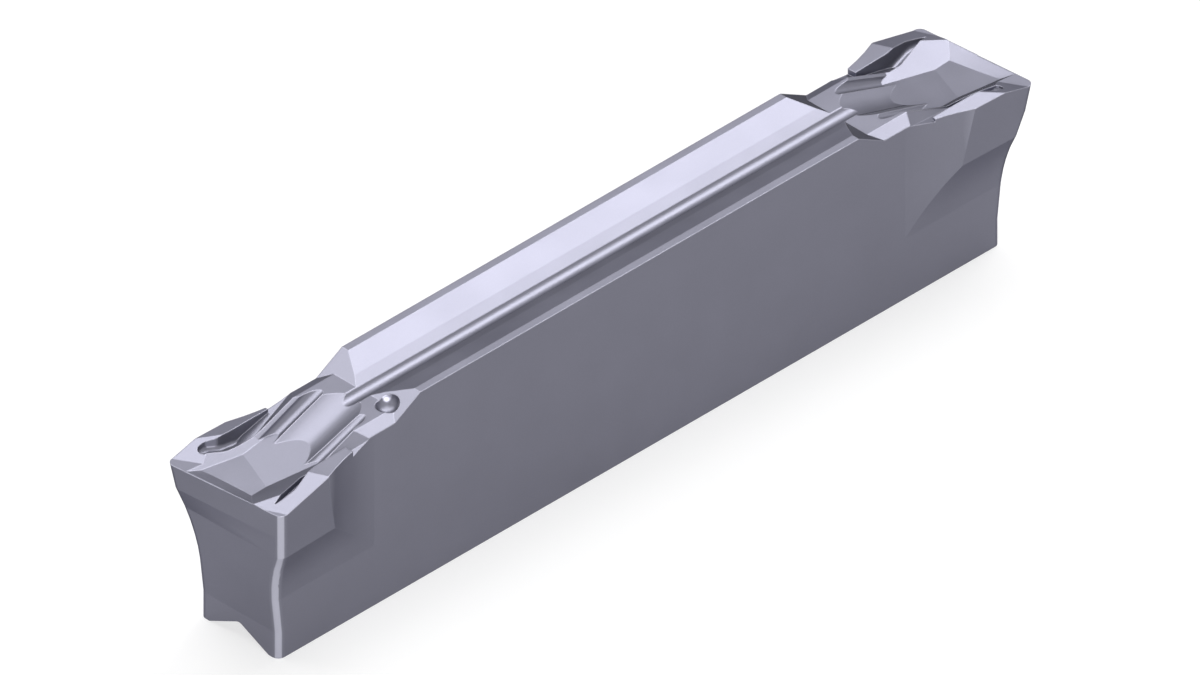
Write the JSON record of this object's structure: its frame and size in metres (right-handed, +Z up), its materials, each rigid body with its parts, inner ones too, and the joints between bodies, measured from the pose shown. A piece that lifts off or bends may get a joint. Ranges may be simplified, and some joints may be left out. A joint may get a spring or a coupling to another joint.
{
  "type": "grooving insert",
  "caption": "Double-ended carbide grooving insert with a moulded chip former at each end, a V seat below and a clamping rail above.",
  "frame": {"origin": "middle of the insert, on the plane of the two narrow lands beside the seat groove", "axes": "+X along the insert from one cutting end to the other, +Y across the cutting width, +Z up from the seat to the clamping rail"},
  "size_m": [0.0214, 0.003, 0.0045],
  "materials": {
    "carbide": "satin sintered tungsten carbide with a fine grain, ground on the cutting edges"
  },
  "bodies": {
    "root": {"grooving_insert": "carbide"}
  },
  "joints": []
}
